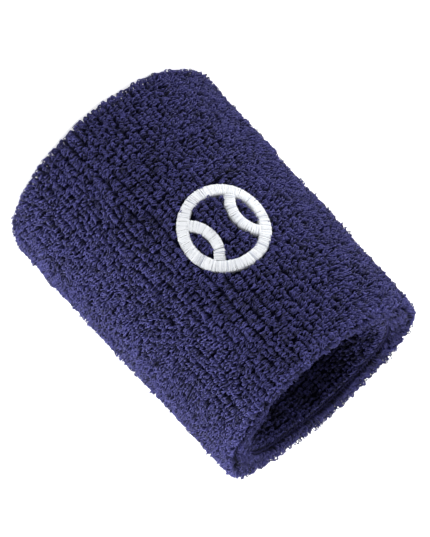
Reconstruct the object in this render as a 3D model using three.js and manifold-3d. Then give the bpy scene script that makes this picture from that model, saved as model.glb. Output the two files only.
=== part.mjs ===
// A terry sweat wristband: one knitted tube turned in on itself to make a double wall, closed by a
// ring of stitching just inside the lip. Millimetres, +Z up. The band stands on its folded end, with
// the origin at the middle of that end, the bore along Z and the embroidered emblem facing -Y.
import * as THREE from "three";
import { mergeVertices } from "three/addons/utils/BufferGeometryUtils.js";
import Module from "manifold-3d";

const wasm = await Module();
wasm.setup();

// ---- driving dimensions ----
const length = 76; // folded end to lip
const foldRadius = 29.5; // outside of the pile at the folded end
const lipRadius = 27.3; // outside of the pile at the lip

const pileHeight = 1.8; // terry loops, on both faces
const groundThickness = 0.5; // the knitted ground that the loops stand on
const clearance = 0.3; // between pieces that touch in the cloth

const foldHeight = 6; // how far up the walls the fold's pile reaches
const foldCorner = 3; // outside rounding of the folded end
const lipHeight = 5; // how far down the outer wall the lip's pile reaches
const lipCorner = 2.2; // outside rounding of the lip

const seamDrop = 1.6; // closing seam, below the top of the lip
const seamThreadRadius = 0.2;
const seamDepth = 1; // from the inside of the pile to the middle of the seam's thread

const elasticRadius = 0.18;
const elasticPitch = 7.2; // along the bore, for each turn
const elasticMargin = 4; // left clear of the fold's and the lip's pile

const emblemHeight = 40.5; // middle of the emblem above the folded end
const emblemRadius = 10.2; // outside of its outline
const outlineWidth = 2.5; // satin column of the outline
const curveWidth = 2.3; // satin columns of the two curves
const curveBend = 6.9; // middle radius of each curve
const curveOffset = 10.4; // from the emblem's middle to the centre of each curve's arc
const satinThickness = 0.9;
const satinProud = 0.1; // above the pile around it
const backingMargin = 2.6; // backing cloth past the emblem
const backingThickness = 0.2;
const bobbinThickness = 0.2;

// ---- facets ----
const around = 48;
const cornerSteps = 3;
const elasticSteps = 32; // for each turn
const elasticSides = 4;
const seamSides = 8;
const emblemSteps = 32;
const wrapStep = 2.4; // longest edge of a flat piece that is bent to the wall

// ---- depths below the outer surface, from the outside of the wall to the bore ----
const groundOuter = pileHeight + clearance;
const groundInner = groundOuter + groundThickness;
const outerElasticDepth = groundInner + clearance + elasticRadius;
const backingDepth = outerElasticDepth + elasticRadius + clearance + backingThickness / 2;
const bobbinDepth = backingDepth + backingThickness / 2 + clearance / 2 + bobbinThickness / 2;
const innerElasticDepth = bobbinDepth + bobbinThickness / 2 + clearance + elasticRadius;
const cavity = innerElasticDepth + elasticRadius + clearance - groundInner;
const wall = 2 * groundInner + cavity;
const seamHeight = length - seamDrop;
const seamGap = seamThreadRadius + clearance;

const outerRadius = (z) => foldRadius + ((lipRadius - foldRadius) * z) / length;
const at = (depth, z) => new THREE.Vector2(outerRadius(z) - depth, z);

// ---- helpers ----
const UP = new THREE.Matrix4().makeRotationX(Math.PI / 2);

// One of the section's four rounded corners, as profile points, for a surface that lies at depth
// below the outside of the pile. Its rounding shrinks with depth until it has run out. Angles are
// seen along the section: 0 points away from the bore and 90 points up.
function corner(wallSide, end, depth, from, to) {
  const rounding = end === "fold" ? foldCorner : lipCorner;
  const radius = rounding - depth;
  const inset = Math.max(rounding, depth);
  const z = end === "fold" ? inset : length - inset;
  const centre = at(wallSide === "outer" ? inset : wall - inset, z);
  if (radius < 0.05) return [centre];
  return Array.from({ length: cornerSteps + 1 }, (_, i) => {
    const angle = THREE.MathUtils.degToRad(from + ((to - from) * i) / cornerSteps);
    return new THREE.Vector2(centre.x + radius * Math.cos(angle), centre.y + radius * Math.sin(angle));
  });
}

// Revolves a closed profile, listed anticlockwise in the section, about the bore.
function revolve(profile) {
  const closed = [...profile, profile[0]];
  return new THREE.LatheGeometry(closed, around).applyMatrix4(UP);
}

function solid(geometry) {
  const bare = geometry.clone();
  bare.deleteAttribute("normal");
  bare.deleteAttribute("uv");
  const merged = mergeVertices(bare, 1e-4);
  const vertProperties = merged.attributes.position.array;
  const triVerts = new Uint32Array(merged.index.array);
  return new wasm.Manifold(new wasm.Mesh({ numProp: 3, vertProperties, triVerts }));
}

function geometryOf(manifold) {
  const mesh = manifold.getMesh();
  const position = new THREE.BufferAttribute(new Float32Array(mesh.vertProperties), 3);
  const geometry = new THREE.BufferGeometry().setAttribute("position", position);
  geometry.setIndex(new THREE.BufferAttribute(new Uint32Array(mesh.triVerts), 1));
  geometry.computeVertexNormals();
  return geometry;
}

// Lays a flat piece on the wall at the emblem. Its x runs round the band, its y along the bore from
// the emblem's middle, and its z is the height above the outer surface.
function wrap(geometry) {
  const radius = outerRadius(emblemHeight);
  const position = geometry.attributes.position;
  for (let i = 0; i < position.count; i++) {
    const angle = position.getX(i) / radius - Math.PI / 2;
    const z = emblemHeight + position.getY(i);
    const r = outerRadius(z) + position.getZ(i);
    position.setXYZ(i, r * Math.cos(angle), r * Math.sin(angle), z);
  }
  geometry.computeVertexNormals();
  return geometry;
}

// A flat slab from bottom to top, of a disc about (x, 0), with a round hole if inner is over 0.
function slab(x, outer, inner, bottom, top) {
  const shape = new THREE.Shape().absarc(x, 0, outer, 0, 2 * Math.PI);
  if (inner > 0) shape.holes.push(new THREE.Path().absarc(x, 0, inner, 0, 2 * Math.PI, true));
  const depth = top - bottom;
  const geometry = new THREE.ExtrudeGeometry(shape, { depth, bevelEnabled: false, curveSegments: emblemSteps });
  return solid(geometry.translate(0, 0, bottom));
}

// ---- emblem: a round outline with a curve on each side, as on a tennis ball ----
function outline(bottom, top, margin = 0) {
  return slab(0, emblemRadius + margin, emblemRadius - outlineWidth - margin, bottom, top);
}

// side is -1 for the left curve and 1 for the right one; reach is how far it runs from the middle.
function curve(side, bottom, top, reach, margin = 0) {
  const half = curveWidth / 2 + margin;
  const ring = slab(side * curveOffset, curveBend + half, curveBend - half, bottom, top);
  return ring.intersect(slab(0, reach, 0, bottom - 1, top + 1));
}

function wholeEmblem(bottom, top, margin = 0) {
  const reach = emblemRadius - outlineWidth / 2;
  return [-1, 1].reduce(
    (joined, side) => joined.add(curve(side, bottom, top, reach, margin)),
    outline(bottom, top, margin),
  );
}

const satinTop = satinProud;
const satinBottom = satinTop - satinThickness;
const curveReach = emblemRadius - outlineWidth - clearance;

const wrapped = (flat) => wrap(geometryOf(flat.refineToLength(wrapStep)));
const emblemOutline = () => wrapped(outline(satinBottom, satinTop));
const emblemCurve = (side) => wrapped(curve(side, satinBottom, satinTop, curveReach));

function bobbinThread() {
  const top = -bobbinDepth + bobbinThickness / 2;
  return wrapped(wholeEmblem(top - bobbinThickness, top));
}

function embroideryBacking() {
  const side = 2 * (emblemRadius + backingMargin);
  const geometry = new THREE.BoxGeometry(side, side, backingThickness, 12, 1, 1);
  return wrap(geometry.translate(0, 0, -backingDepth));
}

// ---- cloth ----
function outerTerryPile() {
  const bottom = foldHeight + clearance;
  const top = length - lipHeight - clearance;
  const tube = revolve([at(0, bottom), at(0, top), at(pileHeight, top), at(pileHeight, bottom)]);
  const pocket = wholeEmblem(satinBottom - clearance, pileHeight, clearance);
  return geometryOf(solid(tube).subtract(solid(wrapped(pocket))));
}

function foldTerryPile() {
  return revolve([
    at(0, foldHeight),
    at(pileHeight, foldHeight),
    ...corner("outer", "fold", pileHeight, 0, -90),
    ...corner("inner", "fold", pileHeight, -90, -180),
    at(wall - pileHeight, foldHeight),
    at(wall, foldHeight),
    ...corner("inner", "fold", 0, 180, 270),
    ...corner("outer", "fold", 0, -90, 0),
  ]);
}

function lipTerryPile() {
  const bottom = length - lipHeight;
  const edge = seamHeight + seamGap;
  const turned = THREE.MathUtils.radToDeg(Math.asin((edge - length + lipCorner) / lipCorner));
  return revolve([
    at(0, bottom),
    ...corner("outer", "lip", 0, 0, 90),
    ...corner("inner", "lip", 0, 90, 180 - turned),
    at(wall - pileHeight, edge),
    at(wall - lipCorner, length - pileHeight),
    ...corner("outer", "lip", pileHeight, 90, 0),
    at(pileHeight, bottom),
  ]);
}

function innerTerryPile() {
  const bottom = foldHeight + clearance;
  const top = seamHeight - seamGap;
  return revolve([
    at(wall - pileHeight, bottom),
    at(wall - pileHeight, top),
    at(wall, top),
    at(wall, bottom),
  ]);
}

// One length of ground: from the closing seam over the lip, down the outer wall, round the fold and
// back up the inner wall to the seam, where its two ends meet.
function groundKnitTube() {
  const lipEnd = wall - groundInner - clearance;
  return revolve([
    at(lipEnd, length - groundOuter),
    at(lipEnd, length - groundInner),
    ...corner("outer", "lip", groundInner, 90, 0),
    ...corner("outer", "fold", groundInner, 0, -90),
    ...corner("inner", "fold", groundInner, -90, -180),
    at(wall - groundInner, length - groundOuter),
    at(wall - groundOuter, length - groundOuter),
    ...corner("inner", "fold", groundOuter, 180, 270),
    ...corner("outer", "fold", groundOuter, -90, 0),
    ...corner("outer", "lip", groundOuter, 0, 90),
  ]);
}

// ---- yarns ----
const elasticLow = foldHeight + elasticMargin;
const elasticHigh = length - lipHeight - elasticMargin;
const elasticTurns = Math.floor((elasticHigh - elasticLow) / elasticPitch);

class ElasticPath extends THREE.Curve {
  constructor(depth) {
    super();
    this.depth = depth;
  }

  getPoint(t, target = new THREE.Vector3()) {
    const z = elasticLow + (elasticHigh - elasticLow) * t;
    const angle = 2 * Math.PI * elasticTurns * t;
    const r = outerRadius(z) - this.depth;
    return target.set(r * Math.cos(angle), r * Math.sin(angle), z);
  }
}

function elasticYarn(depth) {
  const section = new THREE.Shape(
    Array.from({ length: elasticSides }, (_, i) => {
      const angle = (2 * Math.PI * i) / elasticSides;
      return new THREE.Vector2(elasticRadius * Math.cos(angle), elasticRadius * Math.sin(angle));
    }),
  );
  const extrudePath = new ElasticPath(depth);
  return new THREE.ExtrudeGeometry(section, { steps: elasticTurns * elasticSteps, extrudePath });
}

function closingSeamThread() {
  const middle = outerRadius(seamHeight) - wall + seamDepth;
  const ring = new THREE.TorusGeometry(middle, seamThreadRadius, seamSides, around);
  return ring.translate(0, 0, seamHeight);
}

// ---- materials ----
const navyPile = () => new THREE.MeshStandardMaterial({ color: 0x3d3a78, roughness: 1, metalness: 0 });
const navyGround = () => new THREE.MeshStandardMaterial({ color: 0x211f48, roughness: 0.9, metalness: 0 });
const navyThread = () => new THREE.MeshStandardMaterial({ color: 0x2c2a5c, roughness: 0.7, metalness: 0 });
const rubberYarn = () => new THREE.MeshStandardMaterial({ color: 0x8c8a96, roughness: 0.6, metalness: 0 });
const whiteSatin = () => new THREE.MeshStandardMaterial({ color: 0xf2f3f7, roughness: 0.45, metalness: 0 });
const whiteBobbin = () => new THREE.MeshStandardMaterial({ color: 0xe4e4e8, roughness: 0.6, metalness: 0 });
const backingCloth = () => new THREE.MeshStandardMaterial({ color: 0xd8d8d4, roughness: 0.95, metalness: 0 });

// ---- assembly ----
const wristband = new THREE.Group();

function add(name, geometry, material) {
  const mesh = new THREE.Mesh(geometry, material);
  mesh.name = name;
  wristband.add(mesh);
}

add("outer_terry_pile", outerTerryPile(), navyPile());
add("fold_terry_pile", foldTerryPile(), navyPile());
add("inner_terry_pile", innerTerryPile(), navyPile());
add("lip_terry_pile", lipTerryPile(), navyPile());
add("ground_knit_tube", groundKnitTube(), navyGround());
add("closing_seam_thread", closingSeamThread(), navyThread());
add("outer_elastic_yarn", elasticYarn(outerElasticDepth), rubberYarn());
add("inner_elastic_yarn", elasticYarn(innerElasticDepth), rubberYarn());
add("emblem_outline", emblemOutline(), whiteSatin());
add("emblem_left_curve", emblemCurve(-1), whiteSatin());
add("emblem_right_curve", emblemCurve(1), whiteSatin());
add("bobbin_thread", bobbinThread(), whiteBobbin());
add("embroidery_backing", embroideryBacking(), backingCloth());

export default wristband;
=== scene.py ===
"""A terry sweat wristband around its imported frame: every pile loop, satin thread and seam stitch is a
mesh of its own. Lengths are in millimetres until a mesh is made, and +Z runs from the fold to the lip."""
import math

import bpy
import numpy as np
from mathutils import Matrix, Vector


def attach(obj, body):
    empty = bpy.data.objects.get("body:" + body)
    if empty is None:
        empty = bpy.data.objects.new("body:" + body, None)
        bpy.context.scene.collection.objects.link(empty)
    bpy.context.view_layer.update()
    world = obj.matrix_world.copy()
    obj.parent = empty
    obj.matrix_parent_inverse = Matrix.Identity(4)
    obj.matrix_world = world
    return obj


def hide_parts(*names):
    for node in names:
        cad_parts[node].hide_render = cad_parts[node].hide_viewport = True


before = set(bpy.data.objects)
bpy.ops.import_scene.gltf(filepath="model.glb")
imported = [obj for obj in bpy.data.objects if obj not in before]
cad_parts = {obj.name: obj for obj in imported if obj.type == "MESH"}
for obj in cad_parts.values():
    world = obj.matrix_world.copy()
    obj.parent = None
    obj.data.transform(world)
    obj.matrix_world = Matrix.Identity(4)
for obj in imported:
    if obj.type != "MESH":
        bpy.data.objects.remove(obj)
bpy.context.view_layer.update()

# ---- the cloth, as in the CAD ----
LENGTH = 76.0
FOLD_RADIUS = 29.5
LIP_RADIUS = 27.3
WALL = 7.67
FOLD_CORNER = 3.0
LIP_CORNER = 2.2
FOLD_HEIGHT = 6.0
LIP_HEIGHT = 5.0
GROUND = 0.5
GROUND_DEPTH = 2.1
SEAM_Z = 74.4
SEAM_GAP = 0.5
SEAM_DEPTH = 1.0
WALES = 134
COURSE = 1.31
MID = 0.9  # depth of the line that the courses are spaced along
PRESS = 0.2  # how softly the pile gives where it meets the table
LIP_SLOPE = 0.9  # how far the lip drops from its outer edge to the seam
LIP_DIP_AT = math.radians(-73)
EMBLEM_Z = 40.5
EMBLEM_RADIUS = 10.2
OUTLINE_WIDTH = 2.5
CURVE_WIDTH = 2.3
CURVE_BEND = 6.9
CURVE_OFFSET = 10.4
SATIN_PITCH = 0.22
SATIN_THREAD = 0.125
BOBBIN_PITCH = 0.36
BOBBIN_THREAD = 0.09
BOBBIN_DEPTH = 4.01
BACKING_HALF = 12.8
BACKING_DEPTH = 3.56
BACKING_THICKNESS = 0.2

rng = np.random.default_rng(20117)


def outer_radius(z):
    return FOLD_RADIUS + (LIP_RADIUS - FOLD_RADIUS) * z / LENGTH


# ---- section of the cloth: from the seam over the lip, down the outside, round the fold and up ----
def corner_points(depth, z, radius, start, stop):
    angles = np.radians(np.linspace(start, stop, 24))
    centre = outer_radius(z) - depth
    return [(centre + radius * math.cos(a), z + radius * math.sin(a)) for a in angles]


def section_points():
    lip, fold = LIP_CORNER - MID, FOLD_CORNER - MID
    top, low = LENGTH - LIP_CORNER, FOLD_CORNER
    start, stop = (180 - math.degrees(math.asin((SEAM_Z + x - top) / lip)) for x in (SEAM_GAP, -SEAM_GAP))
    points = corner_points(WALL - LIP_CORNER, top, lip, start, 90)
    points += corner_points(LIP_CORNER, top, lip, 90, 0)
    points += corner_points(FOLD_CORNER, low, fold, 0, -90)
    points += corner_points(WALL - FOLD_CORNER, low, fold, -90, -180)
    points += corner_points(WALL - LIP_CORNER, top, lip, 180, stop)
    return np.array(points)


def dense(points, step=0.04):
    gaps = np.hypot(*np.diff(points, axis=0).T)
    at = np.concatenate([[0], np.cumsum(gaps)])
    s = np.arange(0, at[-1], step)
    return s, np.stack([np.interp(s, at, points[:, k]) for k in (0, 1)], 1)


SECTION_S, SECTION = dense(section_points())
TANGENT = np.gradient(SECTION, axis=0)
TANGENT /= np.linalg.norm(TANGENT, axis=1)[:, None]
NORMAL = np.stack([-TANGENT[:, 1], TANGENT[:, 0]], 1)
S_END = SECTION_S[-1]


def s_at(z, inner=False):
    """Where the section passes height z on the outer or the inner wall."""
    wall = NORMAL[:, 0] < -0.9 if inner else NORMAL[:, 0] > 0.9
    if inner:
        wall &= SECTION_S > S_END / 2
    return SECTION_S[wall][np.argmin(np.abs(SECTION[wall, 1] - z))]


S_LIP = s_at(LENGTH - LIP_HEIGHT)
S_FOLD = s_at(FOLD_HEIGHT)
S_INNER = s_at(FOLD_HEIGHT, inner=True)


def waves(count, top_phi, top_s, low_phi=1):
    """A smooth random field over the cloth, periodic round the band, about -1 to 1."""
    k = rng.integers(low_phi, top_phi + 1, count)
    f = rng.uniform(-top_s, top_s, count)
    phase = rng.uniform(0, 2 * math.pi, count)
    size = rng.uniform(0.5, 1, count)
    size /= math.sqrt((size**2).sum() / 2) * 1.6

    def field(phi, s):
        total = 0
        for i in range(count):
            total = total + size[i] * np.cos(k[i] * phi + f[i] * s + phase[i])
        return total

    return field


swell = waves(10, 5, 0.09)  # of the walls, wide
ripple = waves(16, 14, 0.35, 3)  # of the walls, narrow
drift = waves(14, 9, 0.30)  # of the wales, sideways
groove = waves(22, 16, 0.16, 2)  # how far pairs of wales part
turn = waves(18, 10, 0.20)  # of the loops
slope = waves(18, 12, 0.22)  # of the loops, along the band
fluff = waves(24, 24, 0.8, 4)  # of the loops' height and tone
rim = waves(6, 5, 0.001, 2)  # of the lip


def eased(x):
    x = np.clip(x, 0, 1)
    return x * x * (3 - 2 * x)


def settle(phi, r, z):
    """Where a point of the plain shape lies once the cloth is worn in. The walls swell a little, the lip
    dips at the front and slopes down to its seam, and the pile is pressed flat on the table."""
    depth = outer_radius(z) - r
    r = r + 0.32 * swell(phi, z) + 0.14 * ripple(phi, z)
    turned = phi - LIP_DIP_AT
    wave = -0.05 - 0.6 * np.cos(turned) - 0.55 * np.cos(2 * turned) + 0.25 * rim(phi, 0)
    z = z + eased((z - 46) / 30) * wave - eased((z - 66) / 9) * LIP_SLOPE * np.clip((depth - 1.5) / 4.5, 0, 1)
    z = PRESS * np.logaddexp(0, z / PRESS)
    return np.stack([r * np.cos(phi), r * np.sin(phi), z], -1)


def place(phi, s, height):
    """Points in space, from the angle round the band, the run along the section and the height over
    its middle line."""
    s = np.clip(s, 0, S_END)
    r, z = (np.interp(s, SECTION_S, SECTION[:, k]) for k in (0, 1))
    nr, nz = (np.interp(s, SECTION_S, NORMAL[:, k]) for k in (0, 1))
    size = np.hypot(nr, nz)
    return settle(phi, r + nr / size * height, z + nz / size * height)


def mesh_of(name, points, faces, material, uvs, shade):
    """A mesh object from points in millimetres and a list of face arrays of one size each. uvs maps a
    map's name to one coordinate for each face corner, in the same order, and shade is one tone a point."""
    points = np.asarray(points, np.float32).reshape(-1, 3) * 0.001
    sizes = np.concatenate([np.full(len(f), f.shape[1], np.int32) for f in faces])
    corners = np.concatenate([f.ravel() for f in faces]).astype(np.int32)
    mesh = bpy.data.meshes.new(name)
    mesh.vertices.add(len(points))
    mesh.vertices.foreach_set("co", points.ravel())
    mesh.loops.add(len(corners))
    mesh.loops.foreach_set("vertex_index", corners)
    mesh.polygons.add(len(sizes))
    starts = np.concatenate([[0], np.cumsum(sizes)[:-1]]).astype(np.int32)
    mesh.polygons.foreach_set("loop_start", starts)
    mesh.polygons.foreach_set("use_smooth", np.full(len(sizes), True))
    for map_name, uv in uvs.items():
        layer = mesh.uv_layers.new(name=map_name)
        layer.data.foreach_set("uv", np.asarray(uv, np.float32).ravel())
    layer = mesh.attributes.new("shade", "FLOAT", "POINT")
    layer.data.foreach_set("value", np.asarray(shade, np.float32).ravel())
    mesh.update(calc_edges=True)
    mesh.validate()
    piece = bpy.data.objects.new(name, mesh)
    bpy.context.scene.collection.objects.link(piece)
    mesh.materials.append(material)
    return piece


def unit(v):
    return v / np.maximum(np.linalg.norm(v, axis=-1, keepdims=True), 1e-9)


def tubes(line, radius, side, sides, twist=0.0, lobes=0.0, closed=False):
    """Yarns along (n, k, 3) centre lines. radius is (n, k) and side is a direction off each line.
    Returns the points, the face arrays and both UV maps: the bake's, and the run along and round the yarn."""
    n, k, _ = line.shape
    ahead = unit(np.gradient(line, axis=1))
    if closed:
        ahead = unit(np.roll(line, -1, 1) - np.roll(line, 1, 1))
    across = unit(side - (side * ahead).sum(-1, keepdims=True) * ahead)
    up = np.cross(ahead, across)
    theta = np.arange(sides) * 2 * math.pi / sides
    run = np.concatenate([np.zeros((n, 1)), np.cumsum(np.linalg.norm(np.diff(line, axis=1), axis=-1), 1)], 1)
    r = radius[:, :, None] * (1 + lobes * np.cos(2 * (theta - twist * run[:, :, None])))
    ring = across[:, :, None] * np.cos(theta)[:, None] + up[:, :, None] * np.sin(theta)[:, None]
    points = line[:, :, None] + r[..., None] * ring
    index = np.arange(n * k * sides).reshape(n, k, sides)
    last = k if closed else k - 1
    a = index[:, :last]
    b = np.roll(index, -1, 1)[:, :last]
    quads = np.stack([a, np.roll(a, -1, 2), np.roll(b, -1, 2), b], -1).reshape(-1, 4)
    faces = [quads]
    # one cell of the bake's map for each yarn
    grid = math.ceil(math.sqrt(n))
    cell_u = (np.arange(n) % grid) / grid
    cell_v = (np.arange(n) // grid) / grid
    u = np.linspace(0.06, 0.94, last + 1)
    v = np.linspace(0.05, 0.78, sides + 1)
    corners = np.array([[0, 0], [0, 1], [1, 1], [1, 0]])
    i, j = np.meshgrid(np.arange(last), np.arange(sides), indexing="ij")
    local = np.stack([u[i[..., None] + corners[:, 0]], v[j[..., None] + corners[:, 1]]], -1)
    bake = np.stack([cell_u, cell_v], 1)[:, None, None, None] + local / grid
    lengths = run if not closed else np.concatenate([run, run[:, -1:] + (run[:, -1:] - run[:, -2:-1])], 1)
    along = lengths[:, i[..., None] + corners[:, 0]]
    around = np.broadcast_to((j[..., None] + corners[:, 1]) / sides, along.shape)
    yarn = np.stack([along, around], -1)
    bake, yarn = bake.reshape(-1, 2), yarn.reshape(-1, 2)
    if not closed:
        ends = np.concatenate([index[:, 0, ::-1], index[:, -1]])
        faces.append(ends)
        spot = 0.055 * np.stack([np.cos(theta), np.sin(theta)], 1)
        for middle in (0.25, 0.75):
            cap = np.stack([cell_u, cell_v], 1)[:, None] + (spot + [middle, 0.885]) / grid
            bake = np.concatenate([bake, cap.reshape(-1, 2)])
            yarn = np.concatenate([yarn, np.zeros((n * sides, 2))])
    return points.reshape(-1, 3), faces, {"OFBake": bake, "Yarn": yarn}


# ---- materials ----
def material(name):
    m = bpy.data.materials.new(name)
    m.use_nodes = True
    tree = m.node_tree
    return m, tree, tree.nodes["Principled BSDF"]


def node(tree, kind, **values):
    made = tree.nodes.new("ShaderNode" + kind)
    for key, value in values.items():
        if key[0].isupper():
            made.inputs[key.replace("_", " ")].default_value = value
        else:
            setattr(made, key, value)
    return made


def ramp(tree, source, stops):
    made = tree.nodes.new("ShaderNodeValToRGB")
    elements = made.color_ramp.elements
    while len(elements) < len(stops):
        elements.new(0.5)
    for element, (at, colour) in zip(elements, stops):
        element.position = at
        element.color = (*colour, 1)
    tree.links.new(source, made.inputs["Fac"])
    return made.outputs["Color"]


def yarn_material(name, dark, light, sheen, sheen_tint, roughness=0.85, ply=1.6, bump=0.05, hair=900.0,
                  shine=0.25):
    """Yarn whose colour follows each point's shade, with the plies' twist and loose hair as relief.
    Yarn that is too fine to show it, or hidden, has no relief: bump is 0."""
    m, tree, shader = material(name)
    link = tree.links.new
    shade = node(tree, "Attribute", attribute_name="shade")
    place_of = node(tree, "TexCoord")
    patch = node(tree, "TexNoise", Scale=130.0, Detail=3.0, Roughness=0.6)
    link(place_of.outputs["Object"], patch.inputs["Vector"])
    mixed = node(tree, "Math", operation="MULTIPLY_ADD")
    link(patch.outputs["Fac"], mixed.inputs[0])
    mixed.inputs[1].default_value = 0.5
    link(shade.outputs["Fac"], mixed.inputs[2])
    colour = ramp(tree, mixed.outputs[0], [(0.15, dark), (1.25 / 1.3, light)])
    link(colour, shader.inputs["Base Color"])
    shader.inputs["Roughness"].default_value = roughness
    shader.inputs["Specular IOR Level"].default_value = shine
    shader.inputs["Sheen Weight"].default_value = sheen
    shader.inputs["Sheen Roughness"].default_value = 0.45
    shader.inputs["Sheen Tint"].default_value = (*sheen_tint, 1)
    if not bump:
        return m
    # twist of the plies, from the yarn's own length and turn
    yarn = node(tree, "UVMap", uv_map="Yarn")
    parts = node(tree, "SeparateXYZ")
    link(yarn.outputs["UV"], parts.inputs[0])
    phase = node(tree, "Math", operation="MULTIPLY_ADD")
    link(parts.outputs["X"], phase.inputs[0])
    phase.inputs[1].default_value = ply
    turned = node(tree, "Math", operation="MULTIPLY")
    link(parts.outputs["Y"], turned.inputs[0])
    turned.inputs[1].default_value = 3.0
    link(turned.outputs[0], phase.inputs[2])
    angle = node(tree, "Math", operation="MULTIPLY")
    link(phase.outputs[0], angle.inputs[0])
    angle.inputs[1].default_value = 2 * math.pi
    wave = node(tree, "Math", operation="SINE")
    link(angle.outputs[0], wave.inputs[0])
    hairs = node(tree, "TexNoise", Scale=hair, Detail=4.0, Roughness=0.7)
    link(place_of.outputs["Object"], hairs.inputs["Vector"])
    relief = node(tree, "Math", operation="MULTIPLY_ADD")
    link(wave.outputs[0], relief.inputs[0])
    relief.inputs[1].default_value = 0.28
    link(hairs.outputs["Fac"], relief.inputs[2])
    raised = node(tree, "Bump", Strength=0.9, Distance=bump * 0.001)
    link(relief.outputs[0], raised.inputs["Height"])
    link(raised.outputs["Normal"], shader.inputs["Normal"])
    return m


WHITE = (1, 1, 1)
# the pile's dark end is mostly reached at the strands' roots, where the tone holds painted shade; the light end
# is at their tips
PILE_LOOK = ((0.0032, 0.0031, 0.012), (0.056, 0.054, 0.208), 0.31, (0.40, 0.41, 0.82))
navy_pile = yarn_material("navy_pile", *PILE_LOOK)
navy_fibre = yarn_material("navy_fibre", *PILE_LOOK, bump=0)
# the ground knit is navy, given a darker navy than the pile's yarn: painted shade in the gaps between the loops
navy_ground = yarn_material(
    "navy_ground", (0.002, 0.002, 0.0085), (0.014, 0.0134, 0.051), 0.0, (0.3, 0.3, 0.7), shine=0.05
)
navy_thread = yarn_material("navy_thread", (0.0056, 0.0056, 0.025), (0.034, 0.031, 0.127), 0.1, (0.4, 0.4, 0.8))
white_satin = yarn_material(
    "white_satin", (0.25, 0.28, 0.37), (0.74, 0.755, 0.78), 0.1, WHITE,
    roughness=0.42, ply=2.5, bump=0.02, hair=2500,
)
white_bobbin = yarn_material(
    "white_bobbin", (0.5, 0.5, 0.55), (0.85, 0.85, 0.88), 0.1, WHITE, roughness=0.7, bump=0
)
rubber_yarn = yarn_material(
    "covered_elastic", (0.12, 0.12, 0.14), (0.45, 0.44, 0.5), 0.1, WHITE, roughness=0.6, bump=0
)
backing_cloth = yarn_material(
    "backing_cloth", (0.5, 0.5, 0.48), (0.82, 0.82, 0.78), 0.1, WHITE, roughness=0.95, ply=0.0, bump=0.03
)


# ---- emblem: an outline and two curves, as satin columns laid on the wall ----
OUTSIDE = (NORMAL[:, 0] > 0.9)[::-1]


def on_wall(x, y, height):
    """x runs round the band from the middle of the emblem, y along it."""
    phi = x / outer_radius(EMBLEM_Z) - math.pi / 2
    s = np.interp(EMBLEM_Z + y, SECTION[::-1, 1][OUTSIDE], SECTION_S[::-1][OUTSIDE])
    return place(phi, s, height + MID)


def column(centre, radius, start, stop, width, closed, pitch):
    """Ends of each satin stitch, across a column that follows an arc."""
    count = int(abs(math.radians(stop - start)) * radius / pitch)
    angles = np.radians(np.linspace(start, stop, count, endpoint=not closed))
    half = width / 2
    inner = np.stack([centre + (radius - half) * np.cos(angles), (radius - half) * np.sin(angles)], 1)
    skew = 0.5 * (angles[1] - angles[0])
    outer_angles = angles + skew
    reach = radius + half
    outer = np.stack([centre + reach * np.cos(outer_angles), reach * np.sin(outer_angles)], 1)
    return inner, outer


# a stitch's run across its column and its height over the pile's middle line, on top and on the back
TOP_LIFT = np.array([-1.5, -0.6, -0.17, -0.04, 0.01, 0.03, 0.01, -0.04, -0.17, -0.6, -1.5]) - 0.1
TOP_RUN = np.array([0.0, 0.0, 0.02, 0.07, 0.25, 0.5, 0.75, 0.93, 0.98, 1.0, 1.0])
BACK_RUN = np.linspace(0.0, 1.0, 5)
BACK_LIFT = np.array([0.05, 0.01, 0.0, 0.01, 0.05]) - BOBBIN_DEPTH


def satin(name, node_name, centre, radius, start, stop, width, closed=False, back=False):
    """Threads laid side by side across a column: the white top threads, or the bobbin's on the back."""
    pitch = BOBBIN_PITCH if back else SATIN_PITCH
    inner, outer = column(centre, radius, start, stop, width, closed, pitch)
    n = len(inner)
    inner = inner + rng.normal(0, 0.035, inner.shape)
    outer = outer + rng.normal(0, 0.035, outer.shape)
    t, lift = (BACK_RUN, BACK_LIFT) if back else (TOP_RUN, TOP_LIFT)
    flat = inner[:, None] + (outer - inner)[:, None] * t[:, None]
    line = on_wall(flat[..., 0], flat[..., 1], lift + rng.normal(0, 0.025, (n, 1)))
    step = unit(np.roll(outer, -1, 0) - outer)
    if not closed:
        step[-1] = step[-2]
    phi = flat[..., 0] / outer_radius(EMBLEM_Z) - math.pi / 2
    east = np.stack([-np.sin(phi), np.cos(phi), 0 * phi], -1)
    side = east * step[:, None, :1] + np.array([0, 0, 1.0]) * step[:, None, 1:]
    thick = (BOBBIN_THREAD if back else SATIN_THREAD) * rng.uniform(0.9, 1.1, (n, 1))
    thick = thick * (1 + rng.normal(0, 0.13, (n, len(t))))
    points, faces, uvs = tubes(line, thick, side, 7)
    shade = rng.uniform(0.5, 0.9, n) - 0.35 * (rng.random(n) < 0.05)
    shade = np.repeat(shade, len(t) * 7)
    piece = mesh_of(name, points, faces, white_bobbin if back else white_satin, uvs, shade)
    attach(piece, "root")
    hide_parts(node_name)


def emblem_distance(phi, z):
    """How far a place on the outer wall is outside the emblem's columns; below 0 is under them."""
    x = (np.mod(phi + math.pi / 2 + math.pi, 2 * math.pi) - math.pi) * outer_radius(EMBLEM_Z)
    y = z - EMBLEM_Z
    away = np.hypot(x, y)
    ring = np.abs(away - (EMBLEM_RADIUS - OUTLINE_WIDTH / 2)) - OUTLINE_WIDTH / 2
    sides = np.full(np.shape(x), 99.0)
    for side in (-1, 1):
        arc = np.abs(np.hypot(x - side * CURVE_OFFSET, y) - CURVE_BEND) - CURVE_WIDTH / 2
        sides = np.minimum(sides, np.maximum(arc, away - EMBLEM_RADIUS))
    return np.minimum(ring, sides)


middle = EMBLEM_RADIUS - OUTLINE_WIDTH / 2
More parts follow.
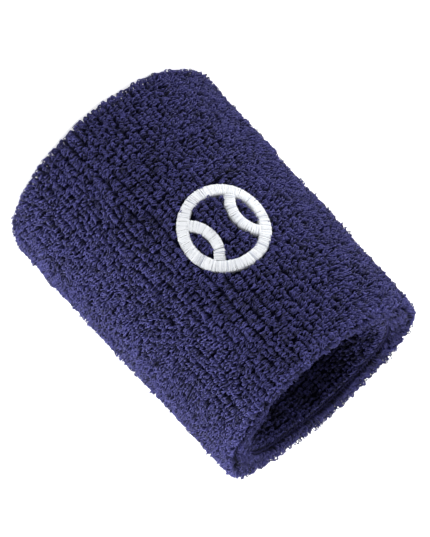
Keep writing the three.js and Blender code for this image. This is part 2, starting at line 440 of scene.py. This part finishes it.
# each curve stops just short of the outline
reach = EMBLEM_RADIUS - OUTLINE_WIDTH - 0.1
cosine = (CURVE_OFFSET**2 + CURVE_BEND**2 - reach**2) / (2 * CURVE_OFFSET * CURVE_BEND)
spread = math.degrees(math.acos(cosine))
for back in (False, True):
    end = "bobbin" if back else "satin"
    width = OUTLINE_WIDTH * (0.8 if back else 1)
    node_name = "bobbin_thread" if back else "emblem_outline"
    satin(f"emblem_outline_{end}", node_name, 0, middle, -90, 270, width, closed=True, back=back)
    for hand, centre, facing in (("left", -CURVE_OFFSET, 0), ("right", CURVE_OFFSET, 180)):
        node_name = "bobbin_thread" if back else f"emblem_{hand}_curve"
        width = CURVE_WIDTH * (0.8 if back else 1)
        low, high = facing - spread, facing + spread
        satin(f"emblem_{hand}_{end}", node_name, centre, CURVE_BEND, low, high, width, back=back)


def backing():
    """The stabiliser square behind the embroidery, a felted sheet of short fibres."""
    count = 90
    x, y = np.meshgrid(*[np.linspace(-BACKING_HALF, BACKING_HALF, count)] * 2, indexing="xy")
    relief = 0.03 * ripple(x * 0.9, y * 5) + rng.normal(0, 0.006, x.shape)
    face = on_wall(x, y, -BACKING_DEPTH + relief)
    under = on_wall(x, y, -BACKING_DEPTH - BACKING_THICKNESS + relief)
    index = np.arange(count * count).reshape(count, count)
    a, b, c, d = index[:-1, :-1], index[:-1, 1:], index[1:, 1:], index[1:, :-1]
    top = np.stack([a, b, c, d], -1).reshape(-1, 4)
    ring = np.concatenate([index[0, :-1], index[:-1, -1], index[-1, :0:-1], index[:0:-1, 0]])
    ahead = np.roll(ring, -1)
    shift = count * count
    rims = np.stack([ring, ring + shift, ahead + shift, ahead], -1)
    faces = [np.concatenate([top, top[:, ::-1] + shift, rims])]
    corners = faces[0].ravel()
    yarn = np.stack([np.tile(x.ravel(), 2)[corners], np.tile(y.ravel(), 2)[corners]], 1)
    shade = 0.5 + rng.normal(0, 0.15, 2 * shift)
    points = np.concatenate([face.reshape(-1, 3), under.reshape(-1, 3)])
    piece = mesh_of("embroidery_backing_cloth", points, faces, backing_cloth, {"Yarn": yarn}, shade)
    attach(piece, "root")
    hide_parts("embroidery_backing")


backing()

# ---- pile ----
def pile_strands(phi, s, height, width, radius, yaw, lean_phi, lean_s, shade, sides, steps):
    """Omega-shaped strands, each standing on the ground and turned and bent by its own amounts."""
    n = len(phi)
    a = np.radians(np.linspace(-150, 150, steps + 1))
    x = 0.5 * width[:, None] * np.sign(np.sin(a)) * np.abs(np.sin(a)) ** 0.8
    up = 0.5 + 0.5 * np.cos(a)
    h = height[:, None] * up
    k = up[None] ** 1.2
    angle = yaw[:, None] * k
    along = x * np.sin(angle) + lean_s[:, None] * k**2
    around = x * np.cos(angle) + lean_phi[:, None] * k**2
    curl = 0.04
    around = around + rng.normal(0, curl, (n, steps + 1))
    along = along + rng.normal(0, curl, (n, steps + 1))
    r_here = np.interp(s, SECTION_S, SECTION[:, 0])[:, None]
    base = MID - GROUND_DEPTH
    line = place(phi[:, None] + around / r_here, s[:, None] + along, base + h)
    tangent = np.stack([np.interp(s, SECTION_S, TANGENT[:, i]) for i in (0, 1)], 1)
    side = np.stack([tangent[:, 0] * np.cos(phi), tangent[:, 0] * np.sin(phi), tangent[:, 1]], 1)
    side = np.broadcast_to(side[:, None], line.shape)
    thick = radius[:, None] * (0.8 + 0.2 * up) * (1 + rng.normal(0, 0.08, (n, steps + 1)))
    points, faces, uvs = tubes(line, thick, side, sides)
    # each strand's own tone varies at random, and the strand is painted darker towards its root, down among the
    # loops: painted shade
    tone = shade[:, None] + 0.8 * np.clip(up, 0, 1) ** 2 - 0.59
    tone = np.broadcast_to(tone[:, :, None], (n, steps + 1, sides))
    return points, faces, uvs, tone


def split(lay, strands, spread):
    """Each stitch's yarn is several strands, which part and curl on their own above the ground."""
    many = {key: np.repeat(value, strands) for key, value in lay.items()}
    n = len(many["phi"])
    place_in = np.tile(np.arange(strands) - (strands - 1) / 2, n // strands)
    r_here = np.interp(many["s"], SECTION_S, SECTION[:, 0])
    apart_s, apart_phi = np.cos(many["yaw"]), -np.sin(many["yaw"])
    shift = spread * 0.5 * place_in
    lean = spread * 0.6 * place_in
    many["s"] = many["s"] + shift * apart_s + rng.normal(0, 0.05, n)
    many["phi"] = many["phi"] + (shift * apart_phi + rng.normal(0, 0.09, n)) / r_here
    many["lean_s"] = many["lean_s"] + lean * apart_s + rng.normal(0, 0.14, n)
    many["lean_phi"] = many["lean_phi"] + lean * apart_phi + rng.normal(0, 0.17, n)
    many["height"] = many["height"] * (1 + rng.normal(0, 0.08, n))
    many["width"] = many["width"] * rng.uniform(0.75, 1.25, n)
    many["yaw"] = many["yaw"] + np.radians(rng.normal(0, 17, n))
    many["shade"] = np.clip(many["shade"] + rng.normal(0, 0.34, n), -0.1, 1.25)
    many["radius"] = many["radius"] * rng.uniform(0.85, 1.15, n)
    return many


def stand(name, node_name, keep, lay, sides, steps):
    chosen = {key: value[keep] for key, value in lay.items()}
    points, faces, uvs, tone = pile_strands(sides=sides, steps=steps, **chosen)
    piece = mesh_of(name, points, faces, navy_pile, uvs, tone)
    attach(piece, "root")
    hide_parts(node_name)


def courses(start, stop, pitch):
    count = max(1, round((stop - start) / pitch))
    return start + (np.arange(count) + 0.5) * (stop - start) / count


def lay_out(rows, height, width, radius, paired=1.0, turned=8.0, wales=WALES):
    """Every stitch of some courses: its place and its own size, turn, bend and tone."""
    s, wale = (x.ravel() for x in np.meshgrid(rows, np.arange(wales), indexing="ij"))
    n = len(s)
    pitch = 2 * math.pi / wales
    phi = (wale + 0.5) * pitch
    parted = paired * np.clip(0.25 + 0.7 * groove(phi, s), -0.2, 0.9)
    toward = np.where(wale % 2 == 0, 1, -1)  # the two wales of a pair lean together
    phi = phi + pitch * (0.09 * toward * parted + 0.34 * drift(phi, s))
    phi = phi + pitch * rng.normal(0, 0.075, n)
    radius_here = np.interp(s, SECTION_S, SECTION[:, 0]) / 28.0
    s = s + rng.normal(0, 0.13, n) + 0.16 * slope(phi, s)
    high = height * (1 + 0.07 * fluff(phi, s) + rng.normal(0, 0.07, n))
    high = high * np.where(rng.random(n) < 0.05, rng.uniform(0.7, 0.9, n), 1)
    yaw = np.radians(turned + 14 * turn(phi, s) + rng.normal(0, 16, n))
    return {
        "phi": phi,
        "s": s,
        "height": high,
        "width": width * radius_here * rng.uniform(0.88, 1.15, n),
        "radius": radius * rng.uniform(0.95, 1.06, n),
        "yaw": yaw,
        "lean_phi": 0.11 * toward * parted + rng.normal(0, 0.10, n),
        "lean_s": 0.20 * slope(phi, s) + rng.normal(0, 0.12, n),
        # the tone varies at random, and the fluff field that lifts a loop also paints it lighter: painted light
        # on the taller loops
        "shade": np.clip(0.45 + 0.06 * fluff(phi, s) + rng.normal(0, 0.07, n), 0, 1),
    }


SIDES = 4
STEPS = 7
INNER_STEPS = 6
STRANDS = 5
INNER_STRANDS = 3
DRAWN_STRANDS = 4
SPREAD = 0.235  # between a stitch's strands
OUTER_PARTS, FOLD_PARTS, INNER_PARTS, LIP_PARTS = 12, 3, 6, 4
LOOP = {"height": 2.12, "width": 1.0, "radius": 0.106}


def part_of(phi, parts):
    """Which of some equal parts of the band each angle is in."""
    return np.floor(np.mod(phi, 2 * math.pi) / (2 * math.pi) * parts).astype(int)


def join(*lays):
    return {key: np.concatenate([lay[key] for lay in lays]) for key in lays[0]}


outer = lay_out(courses(S_LIP, S_FOLD, COURSE), **LOOP)
z_of = np.interp(outer["s"], SECTION_S, SECTION[:, 1])
away = emblem_distance(outer["phi"], z_of)
near = np.clip(1 - (away - 0.25) / 0.9, 0, 1)
outer["height"] = outer["height"] * (1 - 0.06 * near)
outer = {key: value[away > 0.22] for key, value in outer.items()}
outer_sector = np.repeat(part_of(outer["phi"], OUTER_PARTS), STRANDS)
outer = split(outer, STRANDS, SPREAD)
for i in range(OUTER_PARTS):
    stand(f"outer_loops_{i + 1}", "outer_terry_pile", outer_sector == i, outer, SIDES, STEPS)

fold = split(lay_out(courses(S_FOLD, S_INNER, COURSE), **LOOP), STRANDS, SPREAD)
sector = part_of(fold["phi"], FOLD_PARTS)
for i in range(FOLD_PARTS):
    stand(f"fold_loops_{i + 1}", "fold_terry_pile", sector == i, fold, SIDES, STEPS)

# the inner pile ends in a ridge of its own beside the seam
ridge = lay_out(np.array([S_END - 1.2, S_END - 0.3]), 2.0, 0.9, 0.13, 0.3, 30.0)
ridge["lean_s"] = ridge["lean_s"] - 0.15
inner = lay_out(courses(S_INNER, S_END - 2.0, COURSE * 1.04), 1.95, 0.85, 0.13, 0.4)
# the loops inside the band are painted darker than the outer ones: painted shade inside the tube
inner["shade"] = inner["shade"] - 0.25
inner = split(join(inner, ridge), INNER_STRANDS, 0.35)
sector = part_of(inner["phi"], INNER_PARTS)
for i in range(INNER_PARTS):
    stand(f"inner_loops_{i + 1}", "inner_terry_pile", sector == i, inner, SIDES, INNER_STEPS)

# over the lip: loops drawn along by the seam, then a row of upright loops, then the wall's own
S_UPRIGHT = 4.3
S_WALL = 5.85
drawn = lay_out(courses(-0.2, S_UPRIGHT, 1.1), 1.9, 1.05, 0.112, 0.3, 70.0)
tufts = rng.normal(0, 1, len(drawn["s"]))
drawn["height"] = drawn["height"] * (1 + 0.07 * tufts)
# the drawn loops are painted a little darker: painted shade on the band between the upright row and the
# opening; their tone also varies at random per tuft, and a tuft is painted lighter the taller it stands:
# painted light
drawn["shade"] = drawn["shade"] - 0.05 + 0.16 * tufts
upright = lay_out(np.array([0.5 * (S_UPRIGHT + S_WALL)]), 2.15, 1.0, 0.14, 0.3, 4.0)
upright["lean_s"] = upright["lean_s"] + 0.55
# the upright row is painted lighter than the rest of the pile: painted highlight along the lip's edge
upright["shade"] = upright["shade"] + 0.3
wall_rows = lay_out(courses(S_WALL, S_LIP, 1.05), **LOOP)
drawn = split(drawn, DRAWN_STRANDS, SPREAD * 1.2)
lip = join(drawn, split(upright, STRANDS, SPREAD), split(wall_rows, STRANDS, SPREAD))
sector = part_of(lip["phi"], LIP_PARTS)
for i in range(LIP_PARTS):
    stand(f"lip_loops_{i + 1}", "lip_terry_pile", sector == i, lip, SIDES, STEPS)


# ---- loose fibres standing off the pile ----
def fibres(name, lay, count, reach):
    n = len(lay["phi"])
    chosen = rng.integers(0, n, count)
    phi, s, height = lay["phi"][chosen], lay["s"][chosen], lay["height"][chosen]
    r_here = np.interp(s, SECTION_S, SECTION[:, 0])
    t = np.linspace(0, 1, 5)
    length = reach * rng.gamma(4.0, 0.25, count)
    lean = rng.normal(0, 1, (2, count))
    bend = rng.normal(0, 0.9, (2, count))
    rise = rng.uniform(0.1, 0.9, count)
    reach_of = length[:, None] * t
    around = reach_of * lean[0][:, None] * 0.8 + reach_of**2 * bend[0][:, None]
    along = reach_of * lean[1][:, None] * 0.8 + reach_of**2 * bend[1][:, None]
    around = around + (lay["lean_phi"][chosen] + rng.normal(0, 0.2, count))[:, None]
    along = along + (lay["lean_s"][chosen] + rng.normal(0, 0.1, count))[:, None]
    up = MID - GROUND_DEPTH + height[:, None] * 0.95 + reach_of * rise[:, None]
    line = place(phi[:, None] + around / r_here[:, None], s[:, None] + along, up)
    side = np.broadcast_to(unit(rng.normal(0, 1, (count, 1, 3))), line.shape)
    thick = 0.017 * (1 - 0.6 * t) * np.ones((count, 1))
    points, faces, uvs = tubes(line, thick, side, 3)
    shade = np.repeat(rng.uniform(0.5, 1.0, count), 15)
    piece = mesh_of(name, points, faces, navy_fibre, uvs, shade)
    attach(piece, "root")


fibres("outer_fibres", outer, 7600, 0.55)
fibres("fold_fibres", fold, 1600, 0.55)
fibres("lip_fibres", lip, 2600, 0.4)


# ---- closing seam and elastic ----
def long_yarn(name, node_name, look, line, radius, sides, twist=0.0, lobes=0.0, closed=True):
    side = np.broadcast_to([0.0, 0, 1], line.shape)
    thick = np.full(line.shape[:2], radius)
    points, faces, uvs = tubes(line, thick, side, sides, twist, lobes, closed)
    piece = mesh_of(name, points, faces, look, uvs, np.full(len(points), 0.5))
    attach(piece, "root")
    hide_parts(node_name)


def seam_line(stitches=150, each=9):
    t = np.arange(stitches * each) / (stitches * each) * 2 * math.pi
    coil = t * stitches
    radius = outer_radius(SEAM_Z) - WALL + SEAM_DEPTH + 0.16 * np.cos(coil)
    return settle(t + 0.004 * np.cos(coil * 0.5), radius, SEAM_Z + 0.2 * np.sin(coil))[None]


SEAM_THREAD = 0.10
long_yarn("seam_stitches", "closing_seam_thread", navy_thread, seam_line(), SEAM_THREAD, 6)


ELASTIC_LOW, ELASTIC_HIGH = 10, 67
ELASTIC_YARN = 0.17
OUTER_ELASTIC_DEPTH, INNER_ELASTIC_DEPTH = 3.08, 4.59


def elastic_line(depth, turns=7, each=72):
    t = np.linspace(0, 1, turns * each)
    z = ELASTIC_LOW + (ELASTIC_HIGH - ELASTIC_LOW) * t
    phi = 2 * math.pi * turns * t
    return settle(phi, outer_radius(z) - depth, z)[None]


for name, depth in (("outer", OUTER_ELASTIC_DEPTH), ("inner", INNER_ELASTIC_DEPTH)):
    line = elastic_line(depth)
    long_yarn(
        f"{name}_elastic", f"{name}_elastic_yarn", rubber_yarn, line, ELASTIC_YARN, 8,
        twist=2.5, lobes=0.12, closed=False,
    )


# ---- ground knit: one closed cloth with the stitches' relief on both faces ----
GROUND_ROUND = 163  # mean circumference


def ground_cloth():
    columns, rows = 268, 158
    phi = np.arange(columns) * 2 * math.pi / columns
    s = np.linspace(0.0, S_END, rows)
    face, back = MID - GROUND_DEPTH, MID - GROUND_DEPTH - GROUND
    grid_s, grid_phi = np.meshgrid(s, phi, indexing="ij")
    knit = 0.05 * np.cos(grid_phi * WALES) + 0.04 * np.cos(grid_s * 2 * math.pi / COURSE)
    top = place(grid_phi, grid_s, face + knit)
    under = place(grid_phi, grid_s, back - knit)
    points = np.concatenate([top.reshape(-1, 3), under.reshape(-1, 3)])
    index = np.arange(rows * columns).reshape(rows, columns)
    a, b = index[:-1], index[1:]
    quads = np.stack([a, b, np.roll(b, -1, 1), np.roll(a, -1, 1)], -1).reshape(-1, 4)
    low = quads[:, ::-1] + rows * columns
    first, last = index[0], index[-1]
    shift = rows * columns
    rims = [
        np.stack([first, np.roll(first, -1), np.roll(first, -1) + shift, first + shift], -1),
        np.stack([np.roll(last, -1), last, last + shift, np.roll(last, -1) + shift], -1),
    ]
    faces = [np.concatenate([quads, low, *rims])]
    u = np.tile(grid_phi.ravel() / (2 * math.pi) * GROUND_ROUND, 2)
    v = np.tile(grid_s.ravel(), 2)
    corners = faces[0].ravel()
    yarn = np.stack([u[corners], v[corners]], 1)
    # the tone follows the knit's relief: painted light on its ridges, painted shade in its hollows
    shade = np.tile(0.3 + knit.ravel() * 3, 2)
    piece = mesh_of("ground_cloth", points, faces, navy_ground, {"Yarn": yarn}, shade)
    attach(piece, "root")
    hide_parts("ground_knit_tube")


# ---- floor, lights and camera ----
def build_floor():
    mesh = bpy.data.meshes.new("floor")
    reach = 3.0
    corners = [(-reach, -reach, 0), (reach, -reach, 0), (reach, reach, 0), (-reach, reach, 0)]
    mesh.from_pydata(corners, [], [(0, 1, 2, 3)])
    floor = bpy.data.objects.new("floor", mesh)
    bpy.context.scene.collection.objects.link(floor)
    m, _, shader = material("floor_paper")
    shader.inputs["Base Color"].default_value = (0.92, 0.92, 0.92, 1)
    shader.inputs["Roughness"].default_value = 0.9
    shader.inputs["Specular IOR Level"].default_value = 0.1
    shader.inputs["Emission Color"].default_value = (1, 1, 1, 1)
    shader.inputs["Emission Strength"].default_value = 0.75
    mesh.materials.append(m)


build_floor()
ground_cloth()

CAMERA_AZIMUTH = 17.0
ELEVATION = 17.1
DISTANCE = 400.0
PIXELS_PER_MM = 4.4
ROLL_DOWN = 47.5
FRAME_W, FRAME_H = 430, 537
SEEN_AT = (213.7, 272.3)


def aim():
    az, el, down = (math.radians(x) for x in (CAMERA_AZIMUTH, ELEVATION, ROLL_DOWN))
    back = np.array([math.sin(az) * math.cos(el), -math.cos(az) * math.cos(el), math.sin(el)])
    right = np.array([math.cos(az), math.sin(az), 0.0])
    up = np.cross(back, right)
    # the band's axis points down to the right in the picture
    c, s = math.cos(down), math.sin(down)
    across = c * up - s * right
    above = -s * up - c * right
    centre = np.array([0, 0, LENGTH / 2])
    off = ((SEEN_AT[0] - FRAME_W / 2) * across - (SEEN_AT[1] - FRAME_H / 2) * above) / PIXELS_PER_MM
    place_of = (centre - off + DISTANCE * back) * 0.001
    data = bpy.data.cameras.new("camera")
    camera = bpy.data.objects.new("camera", data)
    bpy.context.scene.collection.objects.link(camera)
    basis = np.stack([across, above, back], 1)
    world = np.eye(4)
    world[:3, :3] = basis
    world[:3, 3] = place_of
    camera.matrix_world = Matrix(world.tolist())
    data.sensor_width = 36
    data.lens = DISTANCE * PIXELS_PER_MM / FRAME_H * 36
    data.clip_start = 0.01
    data.clip_end = 20
    bpy.context.scene.camera = camera
    return back, right, up


back, right, up = aim()


def softbox(name, direction, distance, size, power):
    data = bpy.data.lights.new(name, "AREA")
    data.shape = "RECTANGLE"
    data.size, data.size_y = size
    data.energy = power
    lamp = bpy.data.objects.new(name, data)
    bpy.context.scene.collection.objects.link(lamp)
    d = Vector(direction).normalized()
    lamp.location = Vector((0, 0, LENGTH / 2000)) + d * distance
    lamp.rotation_euler = d.to_track_quat("Z", "Y").to_euler()


# the photograph is turned, so the right softbox lights the band's lower left edge in it
softbox("right_softbox", right * 1.0 + back * -0.08 + np.array([0, 0, 0.35]), 0.8, (0.55, 0.9), 16.0)
softbox("left_softbox", -right * 1.0 + back * 0.1 + np.array([0, 0, 0.35]), 0.8, (0.5, 0.9), 6.75)
softbox("top_softbox", back * 0.8 + np.array([0, 0, 1.0]) + right * 0.3, 1.0, (0.9, 0.9), 0.7)

world = bpy.data.worlds.new("studio")
bpy.context.scene.world = world
world.use_nodes = True
world.node_tree.nodes["Background"].inputs["Color"].default_value = (1, 1, 1, 1)
world.node_tree.nodes["Background"].inputs["Strength"].default_value = 0.40
bpy.context.scene.view_settings.view_transform = "Standard"
